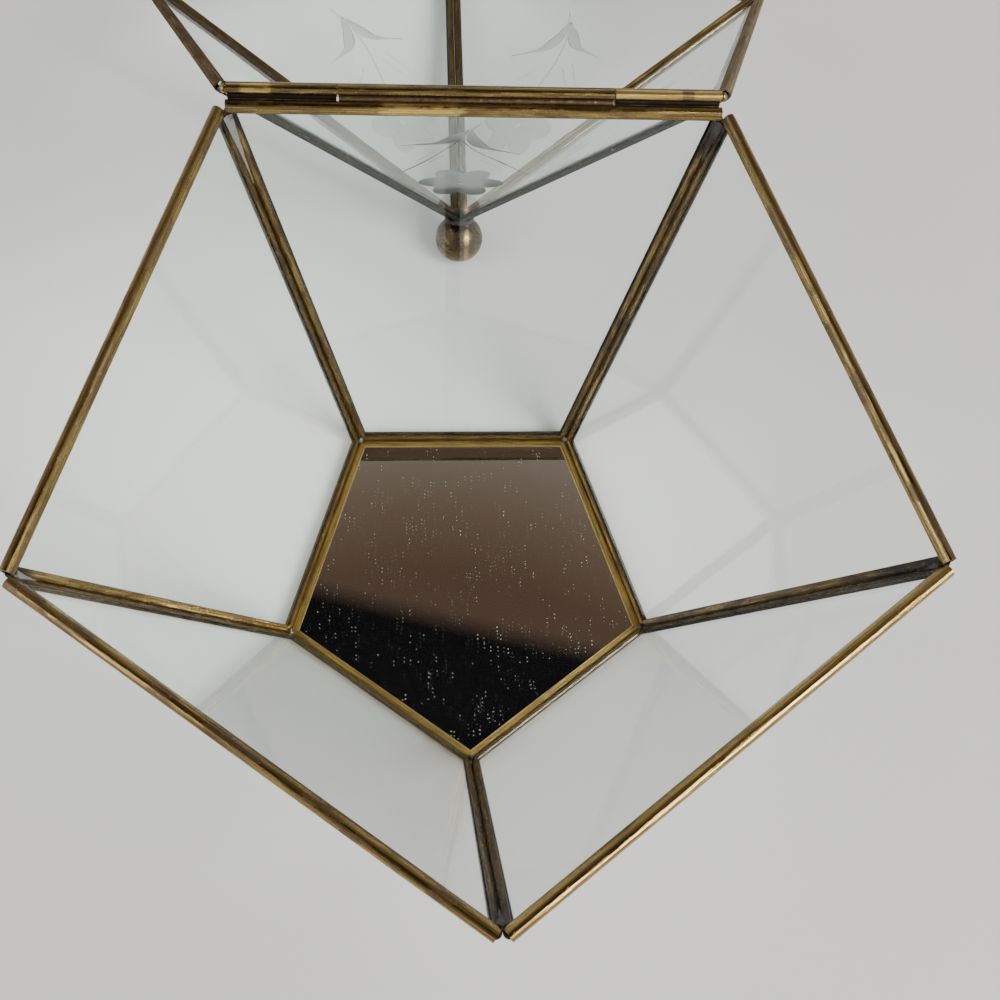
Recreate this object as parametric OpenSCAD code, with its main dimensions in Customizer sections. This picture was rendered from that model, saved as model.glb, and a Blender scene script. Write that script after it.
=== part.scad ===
// Five-sided glass casket: panes in brass channel, a mirror floor and a hinged pyramid lid.
// The lid is drawn swung right over on its hinge, with its ball resting on the ground.
// The origin is on the ground, under the middle of the open box's length and width. +Y points
// from the tray to the lid, +X to the right.

/* [Tray] */
// Distance from the middle to a corner of the side panes at the top of the tray
rim_r = 87.5; // [70:0.5:105]
// Distance from the middle to a corner of the side panes at the ground
base_r = 46.5; // [35:0.5:60]
// Height of the tray, over the rim
tray_h = 96; // [75:0.5:115]

/* [Lid] */
// Height of the pyramid above the middle of its edge bars
lid_rise = 53.5; // [40:0.5:65]
// Gap between the closed lid and the rim of the tray
lid_gap = 0.3; // [0.2:0.05:0.6]

/* [Glass] */
// Thickness of the panes and of the mirror
glass_t = 1.6; // [1.2:0.1:2.2]
// Room between the edge of a pane and the bottom of its groove
pane_play = 0.2; // [0.1:0.05:0.3]

/* [Channel] */
// Thickness of the sheet in the sides of the channel
channel_wall = 0.35; // [0.25:0.05:0.5]
// Thickness of the channel behind its groove
channel_back = 0.5; // [0.35:0.05:0.7]
// Depth of the channel, from its round back to its mouth
channel_depth = 2.2; // [2:0.1:3]
// Room between the glass and each side of the groove
channel_play = 0.05; // [0.02:0.01:0.1]
// Seam between two lengths of channel that lie side by side
seam = 0.04; // [0.02:0.01:0.1]

/* [Finial] */
// Diameter of the ball
ball_d = 13; // [9:0.1:15]
// Height of the middle of the ball above the tip of the pyramid
ball_lift = 5; // [4:0.1:6.5]

/* [Hinge] */
// How far the knuckles end short of the ends of the lid's edge bar
hinge_inset = 0.2; // [0:0.1:3]
// Length of the middle knuckle
middle_len = 55.5; // [48:0.1:62]
// Outer diameter of a knuckle
knuckle_d = 2; // [1.8:0.1:2.6]
// Diameter of the pin
pin_d = 1.2; // [0.9:0.1:1.3]
// Room between the pin and the bore of an outer knuckle, on each side
pin_play = 0.05; // [0.03:0.01:0.1]
// How much the pin is larger than the bore of the middle knuckle, on each side
pin_press = 0.005; // [0.002:0.001:0.01]
// Diameter of the round heads of the pin
pin_head_d = 1.8; // [1.6:0.1:2.4]
// Gap between the ends of two knuckles, and between a knuckle and a pin head
knuckle_end_gap = 0.3; // [0.2:0.05:0.6]
// Gap between the knuckles and the edge bar of the lid
knuckle_gap = 0.25; // [0.15:0.05:0.4]
// How far the pin lies below the middle of the closed lid's edge bar
axis_drop = 0.5; // [0.2:0.1:0.8]

/* [Solder] */
// Length of the solder down the inside of each rib: back left, back right, right, front, left
rib_solder = [17, 12, 6, 8, 5.5]; // [3:0.5:25]
// How far the solder spreads over the two ribs at its top, as a share of the channel's legs
solder_spread = 0.9; // [0.5:0.05:0.95]
// Depth of the solder at its lower end, as a share of the round backs of the ribs
solder_end = 0.5; // [0.3:0.05:0.8]
// Radius of the lumps outside the corners of the base
foot_lump_r = 1.9; // [1.5:0.1:2.4]
// Radius of the beads inside the corners of the base
foot_bead_r = 1.1; // [0.8:0.1:1.4]
// Radius of the lumps at the corners of the lid
lid_lump_r = 1.2; // [0.8:0.1:1.6]
// Radius of the ring of solder under the ball
neck_r = 4.1; // [3.4:0.1:4.6]
// Radius of the lump inside the tip of the lid
tip_lump_r = 3.2; // [2.5:0.1:4]
// How far the bead along each knuckle ends short of the knuckle's ends
bead_inset = 0.1; // [0.1:0.1:5]
// How far a bead bites round the two pieces that it joins
bead_bite = 0.25; // [0.15:0.05:0.3]
// How far the tray's bead sits below the line between the pin and the rim
tray_bead_drop = 0.3; // [0.2:0.05:0.4]
// How far the lid's beads sit above the line between the pin and the closed lid's edge bar
lid_bead_rise = 1.3; // [0.8:0.1:1.4]
// Room between the lid's beads and the rim of the tray while the lid is open
bead_gap = 0.2; // [0.1:0.05:0.4]

/* [Hidden] */
// The sides, in order round the box from the back, as seen from above
SIDES = ["back", "right", "front_right", "front_left", "left"];
// The two ends of a side, as seen from the middle of the box
ENDS = ["left", "right"];
function side_names(name) = [for (side = SIDES) str(name, "_", side)];
function end_names(name) = [for (side = SIDES, end = ENDS) str(name, "_", side, "_", end)];
$fn = 64;

side_count = len(SIDES);
turn = 360 / side_count;
half_turn = turn / 2;
last = side_count - 1;
// Longer than anything in the box
far = 4 * rim_r;

brass = [0.62, 0.5, 0.24];
clear = [0.8, 0.9, 0.86, 0.35];
silvered = [0.3, 0.27, 0.26];
lead = [0.55, 0.53, 0.5];

// The section of the channel. Its round back is a half circle on the line that the bar follows.
bar_t = glass_t + 2 * channel_play + 2 * channel_wall;
bar_r = bar_t / 2;
groove_w = glass_t + 2 * channel_play;
groove_back = bar_r - channel_back;
leg = channel_depth - bar_r;
pane_edge = groove_back - pane_play;

// How far the middle of a bar lies from the edge where two panes would meet at this angle,
// so that the two bars lie side by side
function bar_inset(angle) = (bar_r + seam / 2) / sin(angle / 2);

// The tray's sides. A side is drawn flat: x along it, y up its slope, z into the box.
base_a = base_r * cos(half_turn);
rim_a = rim_r * cos(half_turn);
lean = atan((rim_a - base_a) / tray_h);
function tray_a(z) = base_a + z * tan(lean);
// Half the width of a side at a height up its slope and a depth into the box
function side_half(y, z = 0) = tan(half_turn) * (base_a + y * sin(lean) - z * cos(lean));
rib_tilt = atan(tan(half_turn) * sin(lean));
rib_angle = 180 - acos(pow(cos(lean), 2) * cos(turn) + pow(sin(lean), 2));
rib_inset = bar_inset(rib_angle);
foot_inset = bar_inset(90 + lean);

rim_z = tray_h - bar_r;
rim_a_mid = tray_a(rim_z);
rim_y = rim_z / cos(lean);
foot_y = bar_r / cos(lean) + foot_inset;
rim_half = side_half(rim_y - leg, bar_r) - seam;
foot_half = tan(half_turn) * (base_a + foot_y * sin(lean) - bar_r) - seam;

// The base
base_bar_a = tray_a(bar_r) - foot_inset;

// The lid's sides, drawn flat in the same way, from the middle of their edge bars
lid_a = rim_a_mid;
lid_z = rim_z + bar_t + lid_gap;
lid_slope = atan(lid_rise / lid_a);
lid_tip_y = lid_a / cos(lid_slope);
lid_tilt = atan(tan(half_turn) * cos(lid_slope));
lid_rib_angle = 180 - acos(pow(sin(lid_slope), 2) * cos(turn) + pow(cos(lid_slope), 2));
lid_inset = bar_inset(lid_rib_angle);
lid_half = tan(half_turn) * (lid_a - leg * cos(lid_slope) - bar_r * sin(lid_slope)) - seam;
// Half the width of the lid's side at a height up its slope
function lid_side_half(y) = tan(half_turn) * (lid_a - y * cos(lid_slope));

// The finial
ball_r = ball_d / 2;
tip_z = lid_z + lid_rise;
ball_z = tip_z + ball_lift;

// The hinge's axis runs along x behind the rim
knuckle_r = knuckle_d / 2;
pin_r = pin_d / 2;
axis_to_lid = bar_r + knuckle_r + knuckle_gap;
axis_y = lid_a + sqrt(pow(axis_to_lid, 2) - pow(axis_drop, 2));
axis_z = lid_z - axis_drop;
hinge_half = lid_half - hinge_inset;
outer_len = hinge_half - middle_len / 2 - knuckle_end_gap;
outer_x = hinge_half - outer_len / 2;

// The angle to which the lid opens before a ball of radius r, which is at y and z while the lid
// is closed, touches the ground, or hangs straight down where it can't reach the ground
function rest_angle(y, z, r) =
    let (dy = y - axis_y, dz = z - axis_z)
    acos(max(-1, (r - axis_z) / norm([dy, dz]))) - atan2(dy, dz);
// How far the ends of the lid's edge bars lie from the middle, towards a corner
lid_corner = lid_half * sin(half_turn) + lid_a * cos(half_turn);
open_angle = min(
    rest_angle(0, ball_z, ball_r),
    rest_angle(-lid_corner, lid_z, max(bar_r, lid_lump_r))
);

// The ends of the open box's length: the tray's front corner and the far corner of the lid
front_y = -rim_half * sin(half_turn) - (rim_a_mid + bar_r) * cos(half_turn);
back_y = axis_y - (lid_corner + axis_y) * cos(open_angle) + axis_drop * sin(open_angle)
    + max(bar_r, lid_lump_r);
mid_y = (front_y + back_y) / 2;

// Puts what is drawn flat onto a side of the tray
module on_side(k) {
    rotate([0, 0, -turn * k]) translate([0, base_a, 0]) rotate([90 - lean, 0, 0]) children();
}

// Puts what is drawn flat onto a side of the closed lid
module on_lid(k) {
    rotate([0, 0, -turn * k]) translate([0, lid_a, lid_z]) rotate([180 - lid_slope, 0, 0])
        children();
}

// Swings the closed lid open about the hinge
module opened() {
    translate([0, axis_y, axis_z]) rotate([-open_angle, 0, 0]) translate([0, -axis_y, -axis_z])
        children();
}

// Turns a section in the y and z plane into a bar along x
module along_x(length) {
    rotate([90, 0, 90]) linear_extrude(length, center = true) children();
}

module channel_section() {
    difference() {
        union() {
            circle(r = bar_r);
            translate([0, -bar_r]) square([leg, bar_t]);
        }
        translate([-groove_back, -groove_w / 2]) square([groove_back + channel_depth, groove_w]);
    }
}

// A length of channel along x, with its mouth to +y
module bar(length) {
    along_x(length) channel_section();
}

// Puts what is drawn for the right-hand end of a side at its left-hand end
module at_end(end) {
    mirror([end == 0 ? 1 : 0, 0, 0]) children();
}

module rim_channel(k) {
    color(brass) on_side(k) translate([0, rim_y]) rotate([0, 0, 180]) bar(2 * rim_half);
}

module foot_channel(k) {
    color(brass) on_side(k) translate([0, foot_y]) bar(2 * foot_half);
}

// The ribs stand between foot and rim, cut square to the slope
module rib_channel(k, end) {
    low = foot_y + leg + seam;
    high = rim_y - leg - seam;
    mid = (low + high) / 2;
    color(brass) on_side(k) at_end(end) intersection() {
        translate([side_half(mid), mid])
            rotate([0, 0, 90 - rib_tilt]) translate([0, rib_inset]) bar(rim_y / cos(rib_tilt));
        translate([0, low, -bar_t]) cube([far, high - low, 2 * bar_t]);
    }
}

// A pane reaches into its grooves, and its corners stay inside the ends of the bars
module side_glass(k) {
    low = foot_y - pane_edge;
    high = rim_y + pane_edge;
    edge = (rib_inset - pane_edge) / cos(rib_tilt);
    low_half = min(side_half(low) - edge, foot_half - pane_play);
    high_half = min(side_half(high) - edge, rim_half - pane_play);
    color(clear) on_side(k) linear_extrude(glass_t, center = true)
        polygon([[-low_half, low], [low_half, low], [high_half, high], [-high_half, high]]);
}

// A pentagon with flat sides at this distance from the middle
module pentagon(apothem) {
    rotate(90 - half_turn) circle(r = apothem / cos(half_turn), $fn = side_count);
}

module base_mirror() {
    color(silvered) translate([0, 0, (bar_t - glass_t) / 2]) linear_extrude(glass_t)
        pentagon(base_bar_a + pane_edge);
}

// The tray stands on five of these, mitred together
module base_channel(k) {
    color(brass) rotate([0, 0, -turn * k]) intersection() {
        translate([0, base_bar_a, bar_r]) rotate([0, 0, 180]) bar(2 * base_r);
        translate([0, seam / 2 / sin(half_turn)]) linear_extrude(bar_t)
            polygon([[0, 0], [far * tan(half_turn), far], [-far * tan(half_turn), far]]);
    }
}

// The solder in the valley inside two ribs. It is widest under the rim and thins out downwards.
module rib_fillet(k) {
    rib_lean = atan((rim_r - base_r) / tray_h);
    top = rim_y / cos(rib_tilt);
    low = (rim_y - leg) / cos(rib_tilt) - rib_inset * tan(rib_tilt) - rib_solder[k];
    half_angle = rib_angle / 2;
    reach = rib_inset * sin(half_angle);
    back = -rib_inset * cos(half_angle);
    // Where a round back runs into the flat inner face of its bar, and where the solder ends on it
    round_end = [back - bar_r * sin(half_angle), reach - bar_r * cos(half_angle)];
    spread = round_end + leg * solder_spread * [-cos(half_angle), sin(half_angle)];
    end_depth = solder_end * bar_r;
    difference() {
        rotate([0, 0, 90 + half_turn - turn * k]) translate([base_r, 0, 0])
            rotate([0, rib_lean, 0]) intersection() {
                translate([0, 0, low]) linear_extrude(top - low) difference() {
                    polygon([
                        [back, reach], round_end, spread,
                        [spread[0], -spread[1]], [round_end[0], -round_end[1]], [back, -reach]
                    ]);
                    for (y = [-reach, reach]) translate([back, y]) circle(r = bar_r);
                }
                rotate([90, 0, 0]) linear_extrude(4 * bar_r, center = true)
                    polygon([[back, low], [back - end_depth, low], [spread[0], top], [back, top]]);
            }
        for (side = [k, k - 1]) on_side(side)
            translate([-far / 2, rim_y - leg - seam, -far / 2]) cube([far, far, far]);
    }
}

// A lump between the square ends of two foot bars
module foot_lump(k) {
    height = foot_y * cos(lean);
    difference() {
        rotate([0, 0, half_turn - turn * k])
            translate([0, tray_a(height) / cos(half_turn), height]) sphere(r = foot_lump_r);
        linear_extrude(2 * bar_t, center = true) pentagon(base_bar_a + bar_r);
        for (side = [k, k - 1]) on_side(side) {
            translate([-foot_half, foot_y - bar_r, -bar_r])
                cube([2 * foot_half, channel_depth, bar_t]);
            translate([-far / 2, foot_y + leg, -far / 2]) cube([far, far, far]);
            translate([-far / 2, -far / 2, 0]) cube([far, far, far]);
        }
    }
}

// A bead in the inner corner between two foot bars, on top of the base bars
module foot_bead(k) {
    inner_a = base_a + foot_y * sin(lean) - bar_r * cos(lean);
    height = foot_y * cos(lean) + bar_r * sin(lean);
    difference() {
        rotate([0, 0, half_turn - turn * k])
            translate([0, inner_a / cos(half_turn), height]) sphere(r = foot_bead_r);
        translate([-far / 2, -far / 2, bar_t - far]) cube([far, far, far]);
        for (side = [k, k - 1]) on_side(side) {
            translate([-far / 2, -far / 2, bar_r - far]) cube([far, far, far]);
            translate([-far / 2, foot_y + leg, -far / 2]) cube([far, far, far]);
        }
    }
}

module tray_solder() {
    color(lead) for (k = [0:last]) {
        rib_fillet(k);
        foot_lump(k);
        foot_bead(k);
    }
}

// A tube round the hinge's axis
module knuckle(x, length, bore_r) {
    translate([x, axis_y, axis_z]) rotate([0, 90, 0]) difference() {
        cylinder(h = length, r = knuckle_r, center = true);
        cylinder(h = 2 * length, r = bore_r, center = true);
    }
}

module hinge_knuckle_tray() {
    color(brass) knuckle(0, middle_len, pin_r - pin_press);
}

module hinge_knuckle_lid(way) {
    color(brass) opened() knuckle(way * outer_x, outer_len, pin_r + pin_play);
}

// The pin's ends are hammered over into round heads
module hinge_pin() {
    reach = hinge_half + knuckle_end_gap;
    color(brass) translate([0, axis_y, axis_z]) rotate([0, 90, 0]) {
        cylinder(h = 2 * reach + pin_r, r = pin_r, center = true);
        for (way = [0, 1]) mirror([0, 0, way]) translate([0, 0, reach]) intersection() {
            sphere(d = pin_head_d);
            cylinder(h = pin_head_d, d = 2 * pin_head_d);
        }
    }
}

// The section of a bead that fills the valley between a knuckle and a bar at this place from the
// axis, where drop is how far it sits below the line between them
module bead_section(bar_y, bar_z, drop) {
    reach = norm([bar_y, bar_z]);
    along = [bar_y, bar_z] / reach;
    between = (reach + knuckle_r - bar_r) / 2;
    middle = between * along + drop * [-along[1], along[0]];
    difference() {
        union() {
            translate(middle) circle(r = norm(middle) - knuckle_r + bead_bite);
            polygon([[0, 0], [bar_y, bar_z], middle]);
        }
        circle(r = knuckle_r);
        translate([bar_y, bar_z]) circle(r = bar_r);
    }
}

module hinge_solder_tray() {
    color(lead) translate([0, axis_y, axis_z]) along_x(middle_len - 2 * bead_inset)
        bead_section(rim_a_mid - axis_y, rim_z - axis_z, tray_bead_drop);
}

// The lid's beads stop short of the rim, which comes near them as the lid opens
module hinge_solder_lid() {
    color(lead) opened() for (way = [-1, 1])
        translate([way * outer_x, axis_y, axis_z]) along_x(outer_len - 2 * bead_inset)
            difference() {
                bead_section(lid_a - axis_y, lid_z - axis_z, -lid_bead_rise);
                rotate(open_angle) translate([rim_a_mid - axis_y, rim_z - axis_z])
                    circle(r = bar_r + bead_gap);
            }
}

module lid_edge_channel(k) {
    color(brass) opened() on_lid(k) bar(2 * lid_half);
}

// The lid's ribs stand on its edge bars and are mitred at the tip
module lid_rib_channel(k, end) {
    mid = lid_tip_y / 2;
    color(brass) opened() on_lid(k) at_end(end) intersection() {
        translate([lid_side_half(mid), mid])
            rotate([0, 0, 90 + lid_tilt]) translate([0, lid_inset]) bar(2 * lid_tip_y);
        translate([seam / 2, leg + seam, -bar_t]) cube([far, far, 2 * bar_t]);
    }
}

module lid_glass(k) {
    inset = lid_inset - pane_edge;
    low_half = min(lid_side_half(-pane_edge) - inset / cos(lid_tilt), lid_half - pane_play);
    color(clear) opened() on_lid(k) linear_extrude(glass_t, center = true)
        polygon([
            [-low_half, -pane_edge], [low_half, -pane_edge],
            [0, lid_tip_y - inset / sin(lid_tilt)]
        ]);
}

// All that lies inside the lid's panes, pushed this far into the lid
module inside_lid(depth) {
    intersection_for (k = [0:last]) on_lid(k)
        translate([-far / 2, -far / 2, depth]) cube([far, far, far]);
}

module finial_ball() {
    color(brass) opened() difference() {
        translate([0, 0, ball_z]) sphere(r = ball_r);
        inside_lid(-bar_r);
    }
}

// A lump between the square ends of two of the lid's edge bars
module lid_lump(k) {
    difference() {
        rotate([0, 0, half_turn - turn * k]) translate([0, lid_corner, lid_z])
            sphere(r = lid_lump_r);
        translate([-far / 2, -far / 2, lid_z - bar_r - far]) cube([far, far, far]);
        for (side = [k, k - 1]) on_lid(side) {
            translate([-lid_half, -bar_r, -bar_r]) cube([2 * lid_half, channel_depth, bar_t]);
            translate([-far / 2, leg, -far / 2]) cube([far, far, far]);
            translate([-far / 2, -far / 2, 0]) cube([far, far, far]);
        }
    }
}

module lid_solder() {
    color(lead) opened() {
        for (k = [0:last]) lid_lump(k);
        // Inside the tip
        intersection() {
            translate([0, 0, tip_z - bar_r / cos(lid_slope)]) sphere(r = tip_lump_r);
            inside_lid(bar_r);
        }
        // Round the neck of the ball
        difference() {
            translate([0, 0, tip_z - bar_t]) cylinder(h = bar_t, r = neck_r);
            translate([0, 0, ball_z]) sphere(r = ball_r);
            inside_lid(-bar_r);
        }
    }
}

// All above is drawn from the middle of the tray's base
translate([0, -mid_y, 0]) {
    for (k = [0:last]) {
        side = SIDES[k];
        side_glass(k);
        rim_channel(k);
        foot_channel(k);
        base_channel(k);
        lid_glass(k);
        lid_edge_channel(k);
        for (e = [0, 1]) {
            place = str(side, "_", ENDS[e]);
            rib_channel(k, e);
            lid_rib_channel(k, e);
        }
    }
    base_mirror();
    tray_solder();
    hinge_knuckle_tray();
    hinge_pin();
    hinge_solder_tray();
    lid_solder();
    finial_ball();
    hinge_knuckle_lid(-1);  // hinge_knuckle_lid_left
    hinge_knuckle_lid(1);  // hinge_knuckle_lid_right
    hinge_solder_lid();
}
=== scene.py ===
import math

import bpy
import numpy as np
from mathutils import Matrix, Vector


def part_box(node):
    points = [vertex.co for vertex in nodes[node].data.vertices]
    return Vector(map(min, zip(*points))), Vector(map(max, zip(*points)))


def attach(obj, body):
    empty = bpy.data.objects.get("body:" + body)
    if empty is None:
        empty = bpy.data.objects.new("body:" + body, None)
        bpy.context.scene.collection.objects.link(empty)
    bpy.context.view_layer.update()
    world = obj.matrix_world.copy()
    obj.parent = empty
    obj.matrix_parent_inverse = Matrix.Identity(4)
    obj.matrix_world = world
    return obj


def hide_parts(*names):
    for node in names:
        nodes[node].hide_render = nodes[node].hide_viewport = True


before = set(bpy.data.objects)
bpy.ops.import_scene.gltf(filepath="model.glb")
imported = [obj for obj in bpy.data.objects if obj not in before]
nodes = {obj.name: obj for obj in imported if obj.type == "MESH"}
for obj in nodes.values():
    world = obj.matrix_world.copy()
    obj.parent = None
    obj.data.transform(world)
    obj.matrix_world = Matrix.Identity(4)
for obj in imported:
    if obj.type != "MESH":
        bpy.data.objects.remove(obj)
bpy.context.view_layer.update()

# The camera stands above the front of the tray and looks steeply down into it, so that the rim
# fills the picture and the lid hangs open behind, with its corners outside the picture.
view = bpy.data.objects.new("camera", bpy.data.cameras.new("camera"))
bpy.context.scene.collection.objects.link(view)
bpy.context.scene.camera = view
view.data.sensor_width = 36
view.data.lens = 43.07
view.data.shift_x = 0.0019
view.data.shift_y = 0.0006
look_right = (0.99732, -0.03202, 0.06571)
look_up = (0.00753, 0.93916, 0.3434)
look_back = (-0.07271, -0.34199, 0.93689)
eye = (-0.0139, -0.14384, 0.29397)
stand = Matrix((look_right, look_up, look_back)).transposed().to_4x4()
stand.translation = eye
view.matrix_world = stand


# A plain pale table top, wide enough to fill the picture from every side. It is smooth and
# matt, so that the panes and the shadows read clearly against it.
def feed(node, **values):
    """Gives a node's inputs plain values, or other nodes' outputs. An input goes by its name, with
    _ for each space, or by its number, such as i0."""
    for name, value in values.items():
        numbered = name[0] == "i" and name[1:].isdigit()
        socket = node.inputs[int(name[1:]) if numbered else name.replace("_", " ")]
        if isinstance(value, bpy.types.NodeSocket):
            node.id_data.links.new(value, socket)
        else:
            socket.default_value = value


def new_finish(name):
    finish = bpy.data.materials.new(name)
    finish.use_nodes = True
    return finish, finish.node_tree, finish.node_tree.nodes["Principled BSDF"]


def coat(piece, *finishes):
    piece.data.materials.clear()
    for finish in finishes:
        piece.data.materials.append(finish)


bpy.ops.object.select_all(action="DESELECT")
bpy.ops.mesh.primitive_plane_add(size=6)
table_top = bpy.context.object
table_top.name = "table_top"
matt_white, tree, skin = new_finish("matt_white")
feed(skin, Base_Color=(0.8, 0.8, 0.79, 1), Roughness=0.9, Specular_IOR_Level=0.2)
coat(table_top, matt_white)


# The light of a room by day: a soft window at the right and in front, a weaker one at the
# left, and pale walls under a brown ceiling, which the mirror on the floor of the tray shows. The
# ceiling is in deep shade over the front of the box, and the mirror is black there.
def hang_lamp(name, place, aim, size, power, colour):
    lamp = bpy.data.objects.new(name, bpy.data.lights.new(name, "AREA"))
    lamp.data.shape = "RECTANGLE"
    lamp.data.size, lamp.data.size_y = size
    lamp.data.energy = power
    lamp.data.color = colour
    lamp.location = place
    lamp.rotation_euler = (Vector(aim) - Vector(place)).to_track_quat("-Z", "Y").to_euler()
    bpy.context.scene.collection.objects.link(lamp)


hang_lamp(
    "window", place=(0.79, -0.56, 0.93), aim=(0, -0.06, 0.09), size=(0.6, 0.5), power=17,
    colour=(1, 0.98, 0.95),
)
hang_lamp(
    "far_window", place=(-1.0, -0.3, 0.7), aim=(0, 0, 0.05), size=(0.8, 0.8), power=7,
    colour=(0.95, 0.97, 1),
)


def wire(tree, kind, settings=None, **values):
    node = tree.nodes.new("ShaderNode" + kind)
    for setting, choice in (settings or {}).items():
        setattr(node, setting, choice)
    feed(node, **values)
    return node


def reckon(tree, operation, *values):
    numbered = {f"i{number}": value for number, value in enumerate(values)}
    return wire(tree, "Math", {"operation": operation}, **numbered).outputs[0]


def product(tree, one, other):
    return reckon(tree, "MULTIPLY", one, other)


def blended(tree, share, under, over):
    return wire(tree, "Mix", {"data_type": "RGBA"}, i0=share, i6=under, i7=over).outputs[2]


room = bpy.data.worlds.new("room")
bpy.context.scene.world = room
room.use_nodes = True
air = room.node_tree
direction = air.nodes.new("ShaderNodeTexCoord").outputs["Generated"]
height = wire(air, "SeparateXYZ", Vector=direction).outputs["Z"]
# The colours from the horizon, 0, to straight overhead, 1
PALE_WALL = (0.75, 0.76, 0.77, 1)
BROWN_CEILING = (0.09, 0.052, 0.036, 1)
walls = wire(air, "ValToRGB", Fac=height)
walls.color_ramp.elements[0].color = PALE_WALL
walls.color_ramp.elements[1].color = BROWN_CEILING
for place, colour in (
    (0.45, (0.66, 0.66, 0.65, 1)),
    (0.7, (0.3, 0.25, 0.22, 1)),
    (0.915, (0.25, 0.215, 0.175, 1)),
    (0.94, (0.16, 0.115, 0.08, 1)),
    (0.957, (0.105, 0.068, 0.045, 1)),
):
    walls.color_ramp.elements.new(place).color = colour
DEEP_SHADE = (0.003, 0.003, 0.004, 1)
TOWARD_FRONT = (-0.24, -0.97, 0)
forward = wire(air, "VectorMath", {"operation": "DOT_PRODUCT"}, i0=direction, i1=TOWARD_FRONT)
forward = forward.outputs["Value"]
over_front = wire(air, "MapRange", Value=forward, From_Min=-0.256, From_Max=-0.238).outputs["Result"]
overhead = wire(air, "MapRange", Value=height, From_Min=0.74, From_Max=0.93).outputs["Result"]
shaded = blended(air, product(air, over_front, overhead), walls.outputs["Color"], DEEP_SHADE)
feed(air.nodes["Background"], Color=shaded)


# Bent sheet-brass channel holds every pane. Each length is drawn lengthwise, so its wear runs
# along it: rubbed gold on the crown of the round back, brown and purple tarnish in long
# patches, near-black dirt and painted shade in the seam where two lengths lie side by side, and
# near-black dirt along the glass, where round the mirror a painted highlight lies instead.
def stretched(tree, place, stretch, scale, detail):
    long_grain = wire(tree, "VectorMath", {"operation": "MULTIPLY"}, i0=place, i1=stretch).outputs[0]
    noise = wire(tree, "TexNoise", Vector=long_grain, Scale=scale, Detail=detail, Roughness=0.55)
    return noise.outputs["Fac"]


def between(tree, value, low, high):
    soft = {"interpolation_type": "SMOOTHSTEP"}
    return wire(tree, "MapRange", soft, Value=value, From_Min=low, From_Max=high).outputs["Result"]


def ranging(tree, share, low, high):
    return wire(tree, "MapRange", Value=share, To_Min=low, To_Max=high).outputs["Result"]


def bumps(tree, relief, strength, depth):
    return wire(tree, "Bump", Strength=strength, Distance=depth, Height=relief).outputs["Normal"]


def new_group(name, inputs, outputs):
    group = bpy.data.node_groups.new(name, "ShaderNodeTree")
    for label, kind in inputs:
        group.interface.new_socket(label, in_out="INPUT", socket_type="NodeSocket" + kind)
    for label in outputs:
        group.interface.new_socket(label, in_out="OUTPUT", socket_type="NodeSocketFloat")
    return group, group.nodes.new("NodeGroupInput").outputs, group.nodes.new("NodeGroupOutput")


# Each mark of age, with its stretch along and across the bar, its scale and detail, and the
# heights of the noise at which it starts and is full
MARKS = {
    "Lines": ((0.05, 5, 5), 1.0, 3, 0.36, 0.64),
    "Streaks": ((0.09, 1.7, 1.7), 1.0, 4, 0.4, 0.62),
    "Bloom": ((0.16, 0.6, 0.6), 1.0, 5, 0.47, 0.6),
    "Pits": ((1.6, 3, 3), 1.5, 2, 0.6, 0.72),
    "Specks": ((2.6, 2.6, 2.6), 1.0, 2, 0.65, 0.73),
}
tarnish, given, told = new_group("tarnish", [("Place", "Vector")], MARKS)
for mark, (stretch, scale, detail, start, full) in MARKS.items():
    noise = stretched(tarnish, given["Place"], stretch, scale, detail)
    feed(told, **{mark: between(tarnish, noise, start, full)})

# Rubbed brass, its tarnish from olive to plum, burnt flux, soot, dust, and a pale gold for brass polished by
# hands that also serves as a painted highlight
GOLD = (0.47, 0.33, 0.115, 1)
OLIVE = (0.2, 0.14, 0.052, 1)
UMBER = (0.08, 0.048, 0.025, 1)
PLUM = (0.105, 0.067, 0.057, 1)
BURNT = (0.04, 0.028, 0.032, 1)
SOOT = (0.022, 0.016, 0.012, 1)
SMOKE = (0.026, 0.026, 0.023, 1)
LINT = (0.6, 0.57, 0.52, 1)
POLISH_AND_HIGHLIGHT = (0.95, 0.68, 0.22, 1)

# How fully burnt flux covers the brass, and the shares of its reach by which its edge is ragged
# and over which it is thin
FLUX_COVERS = 0.85
FLUX_RAGGED = 0.9
FLUX_THIN_PART = 0.35


def scorched(tree, colour, wear_place, along, start, end):
    """Flux burnt on by the iron, thicker from the start to the end of its reach on the bar."""
    reach = end - start
    raggedness = stretched(tree, wear_place, (0.3, 0.9, 0.9), 1.0, 3)
    ragged = reckon(tree, "MULTIPLY_ADD", raggedness, FLUX_RAGGED * reach, along)
    burnt = between(tree, ragged, start + FLUX_THIN_PART * reach, end)
    return blended(tree, product(tree, burnt, FLUX_COVERS), colour, BURNT)


# A patch covers the plain brass more than the lines in it, and fades between these half lengths,
# of which its uneven end takes about a half
PATCH_COVERS, PATCH_COVERS_LINES = 0.9, 0.35
PATCH_GONE, PATCH_FULL = 1.65, 1.3


def patched(tree, colour, wear_place, along, lines, middle, half_long, patch_colour):
    """A length of the bar with a colour of its own, uneven at its ends and broken by the lines."""
    off = reckon(tree, "ABSOLUTE", reckon(tree, "SUBTRACT", along, middle))
    uneven = stretched(tree, wear_place, (0.5, 2.2, 2.2), 1.0, 3)
    off = reckon(tree, "MULTIPLY_ADD", uneven, half_long, off)
    covered = between(tree, off, PATCH_GONE * half_long, PATCH_FULL * half_long)
    share = product(tree, covered, ranging(tree, lines, PATCH_COVERS, PATCH_COVERS_LINES))
    return blended(tree, share, colour, patch_colour)


# Places across a bar, in millimetres toward the pane from the middle of its round back
SEAM_STARTS, SEAM_FULL = -0.35, -1.15
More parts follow.
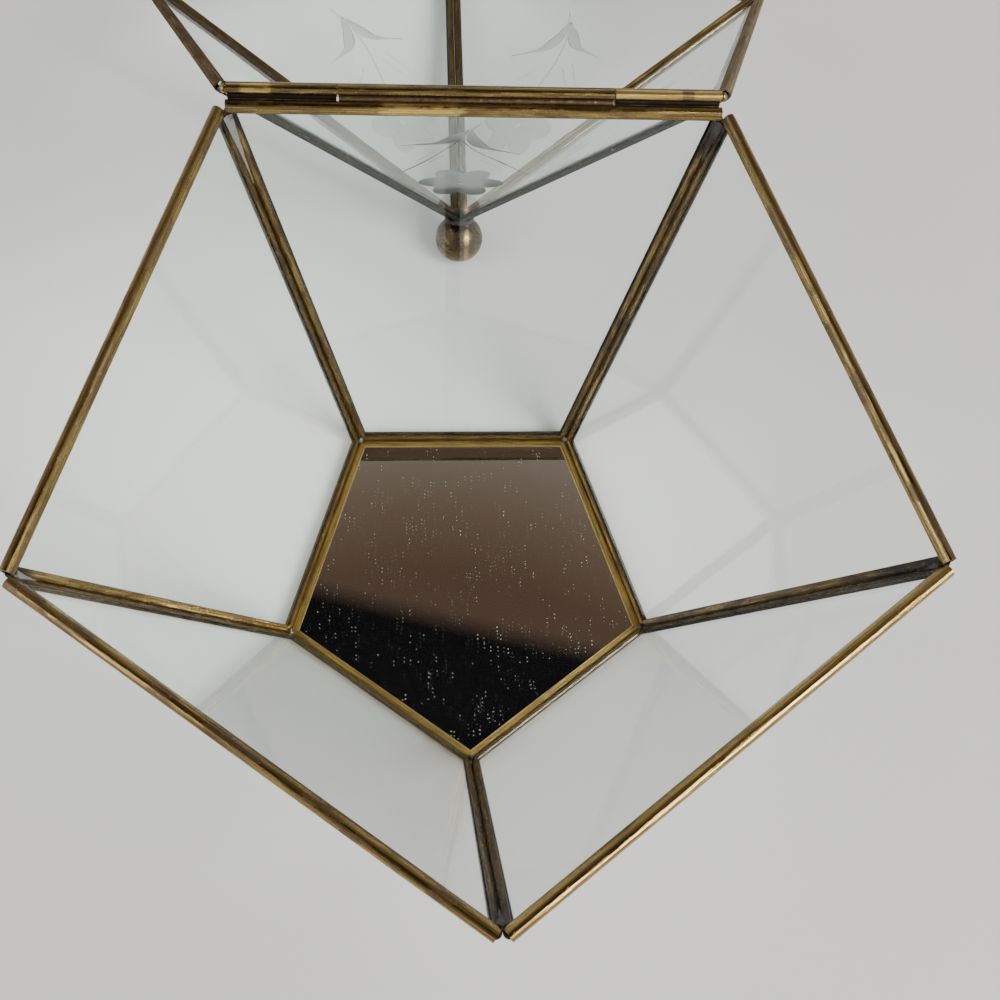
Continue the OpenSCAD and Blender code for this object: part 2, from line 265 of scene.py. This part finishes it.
# A dirty lip darkens from the first place, a lip with a painted highlight brightens from the second, and
# both are full at the last
LIP_STARTS, GLINT_LIP_STARTS, LIP_FULL = 0.72, 0.85, 0.98
# The letters of a piece's name say how far along the tarnish it starts, in millimetres
LETTER_STEP, WEAR_LENGTH = 7.3, 400
# How much of each mark is taken off a bar that is rubbed bright, and how fully the rest covers it
BLOOM_RUBBED, STREAKS_RUBBED, LINES_RUBBED = 0.85, 0.6, 0.45
BLOOM_COVERS, LINES_COVER, PITS_COVER, DIRT_AND_SHADE_COVERS, LINT_COVERS = 0.85, 0.8, 0.6, 0.88, 0.55
# Fine dust shows on a bar that is sootier than this
SOOTY = 0.6
LINT_ON_SOOT = 0.45
DIRT_ROUGHNESS = 0.5
RUBBED_SMOOTHER = 0.09
METAL_UNDER_DIRT = 0.35
GRAIN_DEPTH = 0.00004


def aged_brass(
    name, axes, middle, shine=0.5, seam=1.0, soot=0.0, scorch=None, gold=GOLD, stain=PLUM,
    satin=0.27, matt=0.0, lip=SOOT, patches=(),
):
    """Brass whose wear follows a bar. In the bar's own place x runs along it, y to its mouth.
    A scorch runs from one place on x to another. A patch is given by its middle and half its
    length on x, and its colour. Matt brass has a skin of dirt in place of its metal shine."""
    matt = max(matt, soot)
    brass, tree, skin = new_finish(name)
    turn = Matrix(axes)
    bar_place = wire(
        tree, "Mapping", Vector=tree.nodes.new("ShaderNodeTexCoord").outputs["Object"],
        Location=-1000 * (turn @ Vector(middle)), Rotation=turn.to_euler(), Scale=(1000, 1000, 1000),
    ).outputs[0]
    start = (sum(map(ord, name)) * LETTER_STEP % WEAR_LENGTH, 0, 0)
    wear_place = wire(tree, "VectorMath", {"operation": "ADD"}, i0=bar_place, i1=start).outputs[0]
    wear = wire(tree, "Group", {"node_tree": tarnish}, Place=wear_place).outputs
    place = wire(tree, "SeparateXYZ", Vector=bar_place).outputs
    along, across = place["X"], place["Y"]

    # Dirt and painted shade lie in the seam behind the bar, and dirt along the glass unless the lip carries
    # a painted highlight
    dirt_and_seam_shade = product(tree, between(tree, across, SEAM_STARTS, SEAM_FULL), seam)
    at_lip = between(tree, across, LIP_STARTS if lip == SOOT else GLINT_LIP_STARTS, LIP_FULL)
    if lip == SOOT:
        dirt_and_seam_shade = reckon(tree, "MAXIMUM", dirt_and_seam_shade, at_lip)

    # The more a bar is rubbed, the less of its tarnish is left
    bloom = product(tree, wear["Bloom"], 1 - BLOOM_RUBBED * shine)
    streaks = product(tree, wear["Streaks"], 1 - STREAKS_RUBBED * shine)
    lines = product(tree, wear["Lines"], LINES_COVER - LINES_RUBBED * shine)
    colour = blended(tree, streaks, gold, OLIVE)
    colour = blended(tree, product(tree, bloom, BLOOM_COVERS), colour, stain)
    colour = blended(tree, lines, colour, UMBER)
    colour = blended(tree, product(tree, wear["Pits"], PITS_COVER), colour, SOOT)
    if scorch:
        colour = scorched(tree, colour, wear_place, along, *scorch)
    for patch in patches:
        colour = patched(tree, colour, wear_place, along, wear["Lines"], *patch)
    # Near-black dirt, and painted shade in the seam behind the bar, over the brass
    colour = blended(tree, product(tree, dirt_and_seam_shade, DIRT_AND_SHADE_COVERS), colour, SOOT)
    # A lip of its own colour is a painted highlight along the glass
    if lip != SOOT:
        colour = blended(tree, at_lip, colour, lip)
    if soot:
        colour = blended(tree, soot, colour, SMOKE)
    colour = blended(tree, product(tree, wear["Specks"], LINT_COVERS), colour, LINT)
    if soot > SOOTY:
        lint = between(tree, stretched(tree, bar_place, (2.6, 2.6, 2.6), 1.0, 2), 0.66, 0.72)
        colour = blended(tree, product(tree, lint, LINT_ON_SOOT), colour, LINT)

    dull = reckon(tree, "MAXIMUM", bloom, dirt_and_seam_shade)
    drawn = reckon(tree, "ADD", wear["Lines"], wear["Streaks"])
    feed(
        skin,
        Base_Color=colour,
        Roughness=ranging(tree, dull, satin - RUBBED_SMOOTHER * shine, max(DIRT_ROUGHNESS, satin)),
        Metallic=ranging(tree, dirt_and_seam_shade, 1 - matt, METAL_UNDER_DIRT * (1 - matt)),
        Specular_IOR_Level=0.5 * max(0, 1 - 1.2 * matt),
        Normal=bumps(tree, drawn, 0.35, GRAIN_DEPTH),
    )
    return brass


def corners(node):
    return np.array([v.co[:] for v in nodes[node].data.vertices], float)


# The round back is half a circle, as wide as the bar is thick
HALF_THICK = 0.0012


def dress_bar(node, pane, shine, seam, soot=0.0, scorch=0.0, **finish):
    """Finds how a length of channel lies from its own mesh and its pane's, and dresses it."""
    bar, glass = corners(node), corners(pane)
    middle = (bar.min(0) + bar.max(0)) / 2
    along = np.linalg.svd(bar - bar.mean(0), full_matrices=False)[2][0]
    # It runs upwards, or to the right where it lies level
    if along @ (0.01, 0, 1) < 0:
        along = -along
    through = np.linalg.svd(glass - glass.mean(0), full_matrices=False)[2][2]
    toward = np.cross(through, along)
    if (glass.mean(0) - middle) @ toward < 0:
        toward, through = -toward, -through
    back = (bar @ toward).min() + HALF_THICK
    middle = middle + toward * (back - middle @ toward)
    top = (bar @ along).max() - middle @ along
    burnt = (1000 * top - scorch, 1000 * top) if scorch else None
    axes = (along, toward, through)
    coat(nodes[node], aged_brass("brass_" + node, axes, middle, shine, seam, soot, burnt, **finish))


SIDES = ("back", "right", "front_right", "front_left", "left")
# The front right rim is the brightest: rubbed wear, and in part a painted highlight from the window it faces
RIM_SHINE = {"back": 0.6, "right": 0.35, "front_right": 0.95, "front_left": 0.35, "left": 0.5}
# At each corner, from the back right one onwards: how far the burnt flux reaches down the two
# ribs, how bright they are rubbed and how sooty they are
SCORCH = (12, 22, 16, 5, 6)
RIB_SHINE = (0.25, 0.1, 0.2, 0.7, 0.3)
RIB_SOOT = (0.1, 0.5, 0.2, 0, 0)
# The back rim has a pale gold patch left of its middle: a painted highlight of the window, broken up by the
# wear
RIM_HIGHLIGHT_PATCHES = {"back": [(-11, 8, POLISH_AND_HIGHLIGHT)]}
# One length of the foot is made matt, a painted shade that dulls its highlight under the rim
FOOT_SHADE_MATT = {"front_right": 0.75}
for k, side in enumerate(SIDES):
    glass = "side_glass_" + side
    dress_bar("rim_channel_" + side, glass, RIM_SHINE[side], seam=0, patches=RIM_HIGHLIGHT_PATCHES.get(side, ()))
    dress_bar("foot_channel_" + side, glass, shine=0.3, seam=1, satin=0.4, matt=FOOT_SHADE_MATT.get(side, 0.0))
    # The base channels are pale gold and their lips round the mirror bright: a painted highlight for the
    # window light they catch
    dress_bar(
        "base_channel_" + side, "base_mirror", shine=0.8, seam=0.8, gold=POLISH_AND_HIGHLIGHT, satin=0.45, lip=POLISH_AND_HIGHLIGHT
    )
    for end, corner in (("left", k - 1), ("right", k)):
        dress_bar(
            f"rib_channel_{side}_{end}", glass, RIB_SHINE[corner], seam=1, soot=RIB_SOOT[corner],
            scorch=SCORCH[corner],
        )

# Five flat trapezoid panes of thin window glass, cut by hand and never cleaned: faintly green,
# with specks of dust, smears and a slow waviness from the drawing of the sheet.
EVENLY = (1, 1, 1)
BIGGEST_GRAIN, GRAIN_EDGE = 0.22, 0.03
dust, given, told = new_group(
    "dust", [("Place", "Vector"), ("Amount", "Float")], ["Specks", "Smears", "Waves"]
)
spot = given["Place"]
to_grain = wire(dust, "TexVoronoi", Vector=spot, Scale=1.3, Randomness=1.0).outputs["Distance"]
sizes = between(dust, stretched(dust, spot, EVENLY, 2.2, 2), 0.52, 0.75)
inside = reckon(dust, "SUBTRACT", product(dust, sizes, BIGGEST_GRAIN), to_grain)
grains = between(dust, inside, 0.0, GRAIN_EDGE)
drifts = stretched(dust, spot, EVENLY, 0.12, 4)
drifted = product(dust, grains, between(dust, drifts, 0.38, 0.6))
feed(
    told,
    Specks=product(dust, drifted, given["Amount"]),
    Smears=product(dust, between(dust, drifts, 0.45, 0.7), given["Amount"]),
    Waves=stretched(dust, spot, EVENLY, 0.045, 2),
)


def millimetres(tree):
    place = tree.nodes.new("ShaderNodeTexCoord").outputs["Object"]
    return wire(tree, "Mapping", Vector=place, Scale=(1000, 1000, 1000)).outputs[0]


def clear_for_lamps(tree, skin, tint):
    """Lets lamp light pass the pane, as real glass does, so that what lies behind is lit."""
    passing = wire(tree, "BsdfTransparent", Color=tint)
    shadow = tree.nodes.new("ShaderNodeLightPath").outputs["Is Shadow Ray"]
    both = wire(tree, "MixShader", i0=shadow, i1=skin.outputs[0], i2=passing.outputs[0])
    feed(tree.nodes["Material Output"], Surface=both.outputs[0])


FAINT_GREEN = (0.93, 0.965, 0.945, 1)
GREY_DUST = (0.8, 0.8, 0.78, 1)
PANE_TINT = (0.9, 0.94, 0.92, 1)
GLASS_IOR = 1.45
DUST_ROUGHNESS, SMEAR_ROUGHNESS = 0.6, 0.012
WAVE_DEPTH = 0.0004
window_glass, tree, skin = new_finish("window_glass")
seen = wire(tree, "Group", {"node_tree": dust}, Place=millimetres(tree), Amount=1.0).outputs
haze = product(tree, seen["Smears"], SMEAR_ROUGHNESS)
feed(
    skin,
    Transmission_Weight=1,
    IOR=GLASS_IOR,
    Base_Color=blended(tree, seen["Specks"], FAINT_GREEN, GREY_DUST),
    Roughness=reckon(tree, "MULTIPLY_ADD", seen["Specks"], DUST_ROUGHNESS, haze),
    Normal=bumps(tree, seen["Waves"], 0.08, WAVE_DEPTH),
)
clear_for_lamps(tree, skin, PANE_TINT)
for side in SIDES:
    coat(nodes["side_glass_" + side], window_glass)

# The floor of the tray is a mirror, a pentagon of silvered glass lying in its own frame. It is
# dusty, and each grain of dust is painted twice: once on the glass, and once shifted and fainter as
# a painted reflection of it in the silver under it.
GLASS_OVER_SILVER = 1.0
PAINT_STARTS, PAINT_FULL = 0.6, 0.5
SILVER = (0.75, 0.74, 0.72, 1)
DUST_ON_SILVER = (0.42, 0.41, 0.39, 1)
BACK_PAINT = (0.13, 0.11, 0.1, 1)
THINNEST_DUST, THICKEST_DRIFT = 0.004, 0.75
SILVER_ROUGHNESS, DUSTY_ROUGHNESS = 0.015, 0.9
silvering, tree, skin = new_finish("silvering")
spot = millimetres(tree)
drifts = between(tree, stretched(tree, spot, (0.16, 0.1, 1), 1.0, 4), 0.38, 0.66)
dusty = THINNEST_DUST
# The second, shifted image of the grains is their painted reflection in the silver
for image, strength in ((0, 1.0), (GLASS_OVER_SILVER, 0.75)):
    dropped = wire(tree, "VectorMath", {"operation": "ADD"}, i0=spot, i1=(0, image, 0)).outputs[0]
    # Coarse grains, then fine ones: how many to a millimetre, their radius as a share of their
    # spacing, and how pale they are
    for closeness, radius, paleness in ((0.55, 0.105, 0.68), (1.25, 0.19, 0.5)):
        grains = wire(tree, "TexVoronoi", Vector=dropped, Scale=closeness, Randomness=1.0).outputs
        # Only some of the grains are there, more of them where the dust has drifted
        chance = wire(tree, "SeparateXYZ", Vector=grains["Color"]).outputs
        there = reckon(tree, "LESS_THAN", chance["X"], product(tree, drifts, THICKEST_DRIFT))
        grain = product(tree, between(tree, grains["Distance"], radius, 0.6 * radius), there)
        grain = product(tree, grain, product(tree, chance["Y"], strength * paleness))
        dusty = reckon(tree, "MAXIMUM", grain, dusty)
# The back is painted over the silver, up to this height above the table
painted = between(tree, wire(tree, "SeparateXYZ", Vector=spot).outputs["Z"], PAINT_STARTS, PAINT_FULL)
no_mirror = reckon(tree, "MAXIMUM", dusty, painted)
feed(
    skin,
    Base_Color=blended(tree, painted, blended(tree, dusty, SILVER, DUST_ON_SILVER), BACK_PAINT),
    Metallic=ranging(tree, no_mirror, 1.0, 0.0),
    Roughness=ranging(tree, no_mirror, SILVER_ROUGHNESS, DUSTY_ROUGHNESS),
)
coat(nodes["base_mirror"], silvering)

# Tin and lead solder, run by hand with an iron: a fillet inside the top of each corner, lumps
# and beads at the corners of the base. It is silver where it is fresh, grey where it has aged and
# purple-black where flux has burnt on, and each corner has its own share of these.
FLUX_FADES_OVER = 0.16
LEAD_ROUGHNESS, FLUX_ROUGHNESS = 0.36, 0.55
MOTTLE_DEPTH = 0.00008


def lead(name, bright, dull, burnt_from, flux=(0.06, 0.045, 0.048, 1), tint=(1, 0.97, 0.95)):
    """Mottled from dull to bright, under flux where the noise is higher than burnt_from."""
    solder, tree, skin = new_finish(name)
    spot = millimetres(tree)
    burnt = between(tree, stretched(tree, spot, EVENLY, 0.3, 3), burnt_from, burnt_from + FLUX_FADES_OVER)
    mottled = stretched(tree, spot, EVENLY, 1.2, 3)
    dark = [dull * share for share in tint] + [1]
    pale = [bright * share for share in tint] + [1]
    feed(
        skin,
        Base_Color=blended(tree, burnt, blended(tree, mottled, dark, pale), flux),
        Metallic=0.9,
        Roughness=ranging(tree, burnt, LEAD_ROUGHNESS, FLUX_ROUGHNESS),
        Normal=bumps(tree, mottled, 0.4, MOTTLE_DEPTH),
    )
    return solder


silver_lead = lead("silver_lead", bright=0.52, dull=0.33, burnt_from=0.58)
grey_lead = lead("grey_lead", bright=0.42, dull=0.26, burnt_from=0.56)
dark_lead = lead("dark_lead", bright=0.24, dull=0.12, burnt_from=0.46)
black_lead = lead("black_lead", bright=0.12, dull=0.06, burnt_from=0.4)


SAME_CORNER = 0.000002


def joined_copy(name, node, laid=Matrix()):
    """A copy of a CAD node's mesh, moved if need be, with its loose triangles joined."""
    joined = bpy.data.objects.new(name, nodes[node].data.copy())
    bpy.context.scene.collection.objects.link(joined)
    joined.data.transform(laid)
    bpy.ops.object.select_all(action="DESELECT")
    bpy.context.view_layer.objects.active = joined
    joined.select_set(True)
    bpy.ops.mesh.customdata_custom_splitnormals_clear()
    bpy.ops.object.mode_set(mode="EDIT")
    bpy.ops.mesh.select_all(action="SELECT")
    bpy.ops.mesh.remove_doubles(threshold=SAME_CORNER)
    bpy.ops.object.mode_set(mode="OBJECT")
    return joined


def run_by_hand(name, node, body, grain, lump, leads):
    """Melts the sharp solid of a solder node into soft lumps that stay within it."""
    melted = joined_copy(name, node)
    fine = melted.modifiers.new("fine", "REMESH")
    fine.mode = "VOXEL"
    fine.voxel_size = grain
    soft = melted.modifiers.new("soft", "SMOOTH")
    soft.iterations = 4
    soft.factor = 0.5
    lumps = melted.modifiers.new("lumps", "DISPLACE")
    lumps.texture = bpy.data.textures.new(name + "_lumps", "CLOUDS")
    lumps.texture.noise_scale = 0.0011
    lumps.strength = lump
    lumps.mid_level = 0.6
    for modifier in ("fine", "soft", "lumps"):
        bpy.ops.object.modifier_apply(modifier=modifier)
    coat(melted, *leads)
    bpy.ops.object.shade_smooth()
    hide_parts(node)
    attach(melted, body)
    return melted


# The corners in order round the tray from the right one, which stands 18 degrees to the front,
# then the back right one. All of them are dark at the foot.
CORNER_LEADS = (black_lead, black_lead, grey_lead, silver_lead, dark_lead)
FIRST_CORNER, CORNER_STEP = -18, 72
DARK = CORNER_LEADS.index(dark_lead)
FOOT_HEIGHT = 0.012
tray_middle = corners("base_mirror").mean(0)
tray_lead = run_by_hand(
    "solder_of_tray", "tray_solder", "tray", grain=0.00012, lump=0.0002, leads=CORNER_LEADS
)
for face in tray_lead.data.polygons:
    bearing = math.degrees(math.atan2(face.center.y - tray_middle[1], face.center.x - tray_middle[0]))
    corner = round((bearing - FIRST_CORNER) / CORNER_STEP) % 5
    face.material_index = DARK if face.center.z < FOOT_HEIGHT else corner

# The hinge: a middle knuckle pressed on the pin and soldered to the rim, and two outer ones that
# turn on it and are soldered to the lid. The right one is pale gold, worn brass under a painted
# highlight, with one dark patch.
ALONG_X = ((1, 0, 0), (0, 1, 0), (0, 0, 1))
for node, shine, satin, gold, patches in (
    ("hinge_knuckle_tray", 0.45, 0.27, GOLD, []),
    ("hinge_knuckle_lid_left", 0.45, 0.27, GOLD, [(-5, 3, POLISH_AND_HIGHLIGHT)]),
    ("hinge_knuckle_lid_right", 1.0, 0.38, POLISH_AND_HIGHLIGHT, [(3.9, 1.2, PLUM)]),
    ("hinge_pin", 0.7, 0.27, GOLD, []),
):
    low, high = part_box(node)
    middle = (low + high) / 2
    coat(
        nodes[node],
        aged_brass("brass_" + node, ALONG_X, middle, shine, seam=0, gold=gold, satin=satin, patches=patches),
    )
flux_brown = lead("flux_brown", 0.2, 0.1, 0.55, flux=(0.045, 0.028, 0.02, 1), tint=(1, 0.66, 0.38))
flux_black = lead("flux_black", 0.05, 0.03, 0.3, flux=(0.02, 0.012, 0.009, 1), tint=(1, 0.7, 0.55))
run_by_hand(
    "solder_of_tray_hinge", "hinge_solder_tray", "tray", grain=0.0001, lump=0.00015, leads=[flux_brown]
)
run_by_hand(
    "solder_of_lid_hinge", "hinge_solder_lid", "lid", grain=0.0001, lump=0.0001, leads=[flux_black]
)

# The lid's channel: an edge bar and two ribs round each triangular pane, mitred at the tip and
# soldered there, with a lump at each corner and a ring of solder under the ball.
LID_SHINE = {"back": 0.4, "right": 0.35, "front_right": 0.6, "front_left": 0.45, "left": 0.3}
# The left and right edge bars are dull, the left one brown and the right one grey
EDGE_SKIN = {
    "left": {"gold": (0.1, 0.07, 0.048, 1), "stain": (0.06, 0.044, 0.034, 1), "satin": 0.6, "matt": 0.9},
    "right": {"gold": (0.27, 0.235, 0.175, 1), "stain": (0.17, 0.145, 0.11, 1), "satin": 0.6, "matt": 0.9},
}
# The ribs are brown, but for those at the two ends of the hinge, which are blackened, and the two
# at the right corner, which are pale gold, a painted highlight
BROWN_RIB = {"gold": OLIVE, "stain": UMBER, "satin": 0.5}
BLACK_RIB = {"soot": 0.97}
HIGHLIGHT_RIB = {"gold": POLISH_AND_HIGHLIGHT, "stain": OLIVE, "satin": 0.4}
RIB_SKIN = {
    ("back", "left"): BLACK_RIB,
    ("back", "right"): BLACK_RIB,
    ("right", "left"): BLACK_RIB,
    ("left", "right"): BLACK_RIB,
    ("right", "right"): HIGHLIGHT_RIB,
    ("front_right", "left"): HIGHLIGHT_RIB,
}
for side in SIDES:
    glass = "lid_glass_" + side
    dress_bar("lid_edge_channel_" + side, glass, LID_SHINE[side], seam=0, **EDGE_SKIN.get(side, {}))
    for end in ("left", "right"):
        rib_skin = RIB_SKIN.get((side, end), BROWN_RIB)
        dress_bar(f"lid_rib_channel_{side}_{end}", glass, shine=0.3, seam=1, **rib_skin)
run_by_hand("solder_of_lid", "lid_solder", "lid", grain=0.00011, lump=0.0002, leads=[black_lead])

# The ball is solid brass, turned and then handled for decades: brown and purple on its shoulders,
# with a band of painted warm gold highlight a little right of its middle.
BALL_BROWN = (0.1, 0.066, 0.03, 1)
BALL_PURPLE = (0.045, 0.031, 0.03, 1)
BALL_HIGHLIGHT = (1.8, 0.6, (0.45, 0.3, 0.13, 1))
low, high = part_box("finial_ball")
ball = Vector((low + high) / 2)
turned_brass = aged_brass(
    "brass_finial_ball", ALONG_X, ball, shine=0.1, seam=0, gold=BALL_BROWN, stain=BALL_PURPLE,
    satin=0.22, patches=[BALL_HIGHLIGHT],
)
coat(nodes["finial_ball"], turned_brass)

# The lid's panes are cut on the wheel from outside, each with the same flower of six petals on a
# curved stem, two leaves and a few thin strokes. The cuts are shallow hollows with a frosted
# surface in the clear glass.
FROST_DARK = (0.5, 0.52, 0.52, 1)
FROST_PALE = (0.6, 0.62, 0.62, 1)
GRIT_DEPTH = 0.00005
wheel_cut, tree, skin = new_finish("wheel_cut")
grit = stretched(tree, millimetres(tree), EVENLY, 3.0, 3)
feed(
    skin,
    Transmission_Weight=1,
    IOR=GLASS_IOR,
    Base_Color=blended(tree, grit, FROST_DARK, FROST_PALE),
    Roughness=ranging(tree, grit, 0.5, 0.75),
    Normal=bumps(tree, grit, 0.5, GRIT_DEPTH),
)
clear_for_lamps(tree, skin, FROST_PALE)

# The outer face lies half the glass's thickness from the middle of the pane. A petal is given by
# its half length, half width and depth in millimetres.
MM = 0.001
OUTSIDE = -0.8 * MM
FLOWER_X, FLOWER_Y = -1.0, 53.6
PETALS, PETAL_STEP, FIRST_PETAL = 6, 60, 1.5
PETAL_MIDDLE = 5.6
PETAL_LONG, PETAL_WIDE, PETAL_DEEP = 4.9, 3.5, 0.22
cuts = []
for petal in range(PETALS):
    heading = math.radians(PETAL_STEP * petal + FIRST_PETAL)
    petal_x = FLOWER_X + PETAL_MIDDLE * math.cos(heading)
    petal_y = FLOWER_Y + PETAL_MIDDLE * math.sin(heading)
    bpy.ops.object.select_all(action="DESELECT")
    bpy.ops.mesh.primitive_uv_sphere_add(
        segments=40,
        ring_count=16,
        radius=1,
        location=(petal_x * MM, petal_y * MM, OUTSIDE),
        rotation=(0, 0, heading),
        scale=(PETAL_LONG * MM, PETAL_WIDE * MM, PETAL_DEEP * MM),
    )
    cuts.append(bpy.context.object)


def cut_stroke(points, widths, flat):
    """A stroke of the wheel: a flattened tube along a line, half sunk in the outer face."""
    path = bpy.data.curves.new("stroke", "CURVE")
    path.dimensions = "3D"
    path.bevel_depth = MM
    path.bevel_resolution = 3
    path.use_fill_caps = True
    line = path.splines.new("NURBS")
    line.points.add(len(points) - 1)
    for point, (x, y), width in zip(line.points, points, widths):
        point.co = (x * MM, y * MM, 0, 1)
        point.radius = width
    line.order_u = 3
    line.use_endpoint_u = True
    line.resolution_u = 4
    stroke = bpy.data.objects.new("stroke", path)
    bpy.context.scene.collection.objects.link(stroke)
    stroke.location.z = OUTSIDE
    stroke.scale.z = flat
    bpy.ops.object.select_all(action="DESELECT")
    bpy.context.view_layer.objects.active = stroke
    stroke.select_set(True)
    bpy.ops.object.convert(target="MESH")
    cuts.append(bpy.context.object)


# The leaves are broad and shallow, and the strokes thin and nearly round: the depth of each is
# this share of its half width. Places are in millimetres across the pane and up from its foot.
LEAF_FLAT, STROKE_FLAT = 0.14, 0.6
LEFT_LEAF = [
    (-0.55, 17.9), (-1.9, 20.3), (-3.4, 22.4), (-4.6, 24.4),
    (-6.4, 25.9), (-8.5, 26.8), (-12.1, 27.5), (-16, 28.4),
]
RIGHT_LEAF = [
    (-0.1, 17.7), (0, 20.3), (0.2, 22.8), (1.0, 25.2),
    (2.2, 27.3), (3.9, 29.2), (6.8, 30.6), (12, 33.1),
]
STEM = [(1.6, 14.7), (-0.3, 18.2), (-2.0, 22.7), (-2.8, 30.9), (-2.1, 38.2), (-1.0, 44.6)]
LEFT_TWIG = [(-3.0, 25.4), (-6.0, 31.4), (-10.0, 38.5), (-13.6, 43.8), (-16.2, 47.1)]
RIGHT_TWIG = [(-1.9, 24.6), (0.3, 30.0), (4.4, 34.7), (8.9, 39.9), (16.0, 48.2)]
TWIG_WIDTHS = [0.1, 0.17, 0.2, 0.17, 0.06]
SHORT_WIDTHS = [0.06, 0.17, 0.06]
cut_stroke(LEFT_LEAF, [0.12, 0.9, 1.5, 1.75, 1.2, 0.5, 0.25, 0.08], LEAF_FLAT)
cut_stroke(RIGHT_LEAF, [0.12, 0.9, 1.4, 1.75, 1.6, 0.8, 0.3, 0.08], LEAF_FLAT)
cut_stroke(STEM, [0.1, 0.2, 0.22, 0.22, 0.22, 0.15], STROKE_FLAT)
cut_stroke(LEFT_TWIG, TWIG_WIDTHS, STROKE_FLAT)
cut_stroke([(-7.9, 31.9), (-10.1, 35.5), (-12.4, 39.0)], SHORT_WIDTHS, STROKE_FLAT)
cut_stroke([(-5.7, 34.1), (-7.7, 37.2), (-9.8, 40.2)], SHORT_WIDTHS, STROKE_FLAT)
cut_stroke(RIGHT_TWIG, TWIG_WIDTHS, STROKE_FLAT)
cut_stroke([(3.9, 33.9), (6.6, 37), (9.4, 40.1)], SHORT_WIDTHS, STROKE_FLAT)
cut_stroke([(2.1, 36.0), (4.7, 39.1), (7.3, 42.1)], SHORT_WIDTHS, STROKE_FLAT)

bpy.ops.object.select_all(action="DESELECT")
for cut in cuts:
    cut.select_set(True)
bpy.context.view_layer.objects.active = cuts[0]
bpy.ops.object.transform_apply(location=True, rotation=True, scale=True)
for cut in cuts:
    coat(cut, wheel_cut)

# The pane reaches this far below the middle of its edge bar, where the pattern's own place starts
PANE_IN_BAR = 0.5 * MM
lid_middle = Vector(np.mean([corners("lid_glass_" + side).mean(0) for side in SIDES], axis=0))
lays = {}
for side in SIDES:
    # A pane has an outer and an inner face, so each of its three corners is there twice
    outline = np.unique(np.round(corners("lid_glass_" + side), 6), axis=0)
    order = np.argsort(np.linalg.norm(outline - np.array(ball), axis=1))
    tip = Vector(outline[order[:2]].mean(0))
    foot = Vector(outline[order[2:]].mean(0))
    up = (tip - foot).normalized()
    inward = Vector(np.linalg.svd(outline - outline.mean(0), full_matrices=False)[2][2])
    if inward.dot(lid_middle - foot) < 0:
        inward = -inward
    lays[side] = Matrix((up.cross(inward), up, inward)).transposed().to_4x4()
    lays[side].translation = foot + up * PANE_IN_BAR

# The pattern is cut once, into a pane laid flat, and that pane then serves for all five
flat_pane = joined_copy("flat_pane", "lid_glass_left", lays["left"].inverted())
bpy.ops.object.mode_set(mode="EDIT")
bpy.ops.mesh.dissolve_limited(angle_limit=0.01)
bpy.ops.object.mode_set(mode="OBJECT")
coat(flat_pane, window_glass)
for number, cut in enumerate(cuts):
    wheel = flat_pane.modifiers.new(f"cut_{number}", "BOOLEAN")
    wheel.operation = "DIFFERENCE"
    wheel.solver = "EXACT"
    wheel.material_mode = "TRANSFER"
    wheel.object = cut
    bpy.ops.object.modifier_apply(modifier=wheel.name)
for side in SIDES:
    pane = bpy.data.objects.new("lid_pane_" + side, flat_pane.data.copy())
    bpy.context.scene.collection.objects.link(pane)
    pane.data.transform(lays[side])
    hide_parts("lid_glass_" + side)
    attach(pane, "lid")
for scrap in cuts + [flat_pane]:
    bpy.data.objects.remove(scrap)
